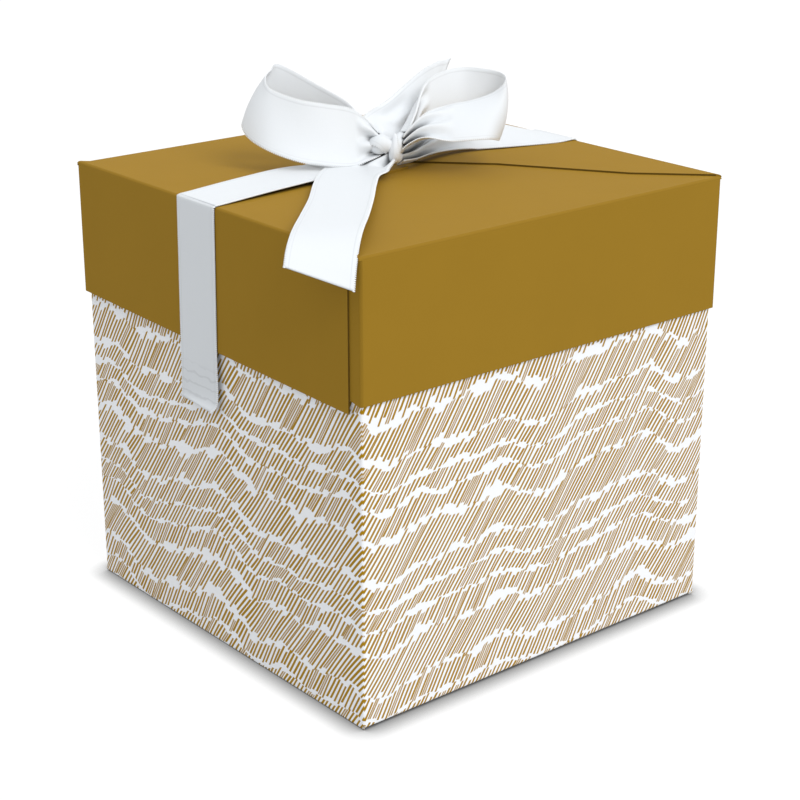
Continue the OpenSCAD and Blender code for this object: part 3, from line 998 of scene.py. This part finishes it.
# %% The front tail
front_tail_reach = 72 * MM
front_tail_shares = [
    (-0.010, -0.012, 0.004, 0.20, -0.12, -0.10, 0),
    (-0.040, -0.030, -0.018, 0.42, -0.26, -0.10, 0),
    (-0.100, -0.060, -0.032, 0.84, -0.42, -0.06, 0),
    (-0.135, -0.150, -0.034, 0.96, -0.22, 0, 0),
    (-0.145, -0.28, -0.034, 0.98, -0.06, 0, 0),
    (-0.150, -0.45, -0.034, 0.98, 0, 0, 0),
    (-0.161, -0.65, -0.028, 1, 0, 0, 0),
    (-0.171, -0.80, -0.023, 0.99, 0, -0.02, 0),
    (-0.178, -0.90, -0.031, 0.98, 0, -0.08, 0),
    (-0.184, -0.975, -0.058, 0.98, 0, -0.16, 0),
    (-0.188, -1.03, -0.098, 0.98, 0, -0.25, 0)]
front_tail = strip(
    bow_stations(front_tail_shares, front_tail_reach), cut_slant=0.06 * ribbon_width)
add_ribbon("front_tail", [front_tail])

# %% The back tail
back_tail_reach = 30 * MM
back_tail_shares = [
    (-0.10, 0.128, 0.072, -0.60, 0.08, 0.25, 0),
    (-0.06, 0.20, 0.12, -0.78, 0.08, 0.44, 0),
    (0.05, 0.30, 0.17, -0.56, 0.08, 0.61, 0),
    (0.20, 0.50, 0.25, -0.30, 0.08, 0.91, 0),
    (0.27, 0.62, 0.275, -0.19, 0.08, 0.97, 0),
    (0.31, 0.70, 0.28, -0.12, 0.08, 0.98, 0)]
back_tail = strip(bow_stations(back_tail_shares, back_tail_reach), cut_slant=0.72 * ribbon_width)
# The back tail shows the reverse, whose paler colour is painted light.
add_ribbon("back_tail", [back_tail], -1)

# %% [markdown]
# The knot is ribbon too, only rolled up lengthwise as tight as it goes. Pleats would be too deep
# for it, so here the cloth winds into a spiral with a small gap between its layers. One turn wraps
# over the middle from back to front and dives under. A small ear of the same ribbon stands out
# beside it on the left, and a tight neck runs through the wrap and joins the two loops.

# %% A strip rolled up
layer_gap = 0.34 * MM


def rolled(stations):
    """A grid of points for a strip rolled up lengthwise, to look as wide as its stations."""
    rows = even_rings(stations)
    place, across = rows[:, :3], rows[:, 3:6]
    normal = unit(np.cross(np.gradient(place, axis=0), across))
    radius = np.linalg.norm(across, axis=1)[:, None] / 2
    aside = across / (2 * radius)
    turns = ribbon_width / (2 * math.pi * radius)
    side = np.linspace(-0.5, 0.5, 2 * columns + 1)[None, :]
    angle = 2 * math.pi * turns * side
    spiral = radius + turns * layer_gap * side
    return (place[:, None, :] + aside[:, None, :] * (spiral * np.sin(angle))[:, :, None]
            + normal[:, None, :] * (spiral * np.cos(angle))[:, :, None])

# %% The knot
wrap_shares = [
    (0.10, 0.10, 0.20, 0.20, 0, -0.06, 0),
    (0.07, -0.05, 0.22, 0.18, 0, -0.05, 0),
    (0.035, -0.16, 0.17, 0.16, 0, -0.02, 0),
    (0.01, -0.22, 0.09, 0.15, 0, 0, 0),
    (0, -0.22, 0.01, 0.15, 0, 0, 0),
    (0.005, -0.14, -0.06, 0.17, 0, 0, 0),
    (0.015, 0, -0.08, 0.20, 0, 0, 0)]
ear_shares = [
    (0, -0.13, 0.10, 0, 0.02, 0.14, 0),
    (-0.10, -0.16, 0.14, 0, 0.03, 0.18, 0),
    (-0.22, -0.15, 0.15, 0.02, 0.06, 0.30, 0),
    (-0.29, -0.04, 0.12, 0.06, 0.05, 0.30, 0),
    (-0.24, 0.08, 0.12, 0.02, 0.05, 0.27, 0),
    (-0.10, 0.10, 0.12, 0, 0.03, 0.22, 0)]
neck_shares = [
    (-0.24, 0.06, 0.13, 0, 0.05, 0.32, 0),
    (-0.12, 0.02, 0.09, 0, 0.05, 0.28, 0),
    (0.02, 0.00, 0.08, 0, 0.05, 0.28, 0),
    (0.13, 0.03, 0.13, 0, 0.05, 0.26, 0)]
knot = [
    rolled(bow_stations(shares, ribbon_width)) for shares in (wrap_shares, ear_shares, neck_shares)]
add_ribbon("knot", knot)

# %% [markdown]
# The studio is a white sweep. A white sheet lights the object from all round, and one soft lamp
# over the photographer's shoulder lifts what faces the camera: the front takes most of it and the
# left side least. The sheet is faintly blue as a light and pure white as a background, so the world
# mixes the two by the kind of ray that asks.

# %% White all round
SKY = (0.95, 0.975, 1.0)
sky_strength = 0.99


def seen_directly(tree):
    """1 for the camera, and for a mirror or a pane between it and the background."""
    path = tree.nodes.new("ShaderNodeLightPath")
    camera_ray, mirror, pane = (
        Field(tree, path.outputs[kind])
        for kind in ("Is Camera Ray", "Is Glossy Ray", "Is Transmission Ray"))
    return camera_ray.math("MAXIMUM", mirror).math("MAXIMUM", pane)


def mix_by_view(tree, lights, shows, output):
    """Light from one shader, and what is seen of it from another."""
    mix = tree.nodes.new("ShaderNodeMixShader")
    tree.links.new(seen_directly(tree).socket, mix.inputs[0])
    tree.links.new(lights.outputs[0], mix.inputs[1])
    tree.links.new(shows.outputs[0], mix.inputs[2])
    tree.links.new(mix.outputs[0], tree.nodes[output].inputs["Surface"])


def lit_world():
    world = bpy.data.worlds.new("white_sweep")
    world.use_nodes = True
    tree = world.node_tree
    soft = tree.nodes["Background"]
    soft.inputs["Color"].default_value = (*SKY, 1)
    soft.inputs["Strength"].default_value = sky_strength
    seen = tree.nodes.new("ShaderNodeBackground")
    seen.inputs["Color"].default_value = (1, 1, 1, 1)
    mix_by_view(tree, soft, seen, "World Output")
    bpy.context.scene.world = world


lit_world()
print("light from all round:", sky_strength)

# %% The lamp
lamp_towards = (-0.02, -0.74, 0.66)
lamp_level = 0.44
lamp_softness = math.radians(34)


def sun(name, towards, level, softness):
    """A lamp far away. A level of 1 shows a white card that faces it at full white."""
    lamp = bpy.data.lights.new(name, "SUN")
    lamp.energy = math.pi * level
    lamp.angle = softness
    lamp_object = bpy.data.objects.new(name, lamp)
    bpy.context.collection.objects.link(lamp_object)
    lamp_object.rotation_euler = Vector(towards).to_track_quat("Z", "Y").to_euler()


sun("key", lamp_towards, lamp_level, lamp_softness)
print("lamp at a level of", lamp_level)

# %% [markdown]
# The floor is plain white to the camera, and grows dark only close to the box, where a contact
# shadow is painted. A real white floor would come out grey, and more light on it would bleach the
# box. So the camera sees a glow that an Ambient Occlusion node takes away near the box as painted
# shadow, and a faint plain coat that keeps the lamp's own shadow. To the box itself the floor is a
# dull grey that throws little light up its walls.

# %% The floor
floor_half = 3.0
floor_grey = 0.34
floor_coat = 0.15
floor_glow = 0.87
painted_shadow_reach = 5.5 * MM


def white_floor():
    low, high = -floor_half, floor_half
    mesh = bpy.data.meshes.new("floor")
    mesh.from_pydata(
        [(low, low, 0), (high, low, 0), (high, high, 0), (low, high, 0)], [], [(0, 1, 2, 3)])
    floor = bpy.data.objects.new("floor", mesh)
    bpy.context.collection.objects.link(floor)
    material, tree, shader = new_material("floor", roughness=1, gloss=0)
    shader.inputs["Base Color"].default_value = (floor_grey, floor_grey, floor_grey, 1)
    # Painted contact shadow: the glow fades where the box hides the view.
    near = tree.nodes.new("ShaderNodeAmbientOcclusion")
    near.inputs["Distance"].default_value = painted_shadow_reach
    level = Field(tree, near.outputs["AO"]).math("POWER", 2) * floor_glow
    glow = tree.nodes.new("ShaderNodeEmission")
    tree.links.new(level.socket, glow.inputs["Strength"])
    coat = tree.nodes.new("ShaderNodeBsdfDiffuse")
    coat.inputs["Color"].default_value = (floor_coat, floor_coat, floor_coat, 1)
    both = tree.nodes.new("ShaderNodeAddShader")
    tree.links.new(coat.outputs[0], both.inputs[0])
    tree.links.new(glow.outputs[0], both.inputs[1])
    mix_by_view(tree, shader, both, "Material Output")
    mesh.materials.append(material)


white_floor()
bpy.context.scene.view_settings.view_transform = "Standard"
print("floor:", 2 * floor_half, "m wide")
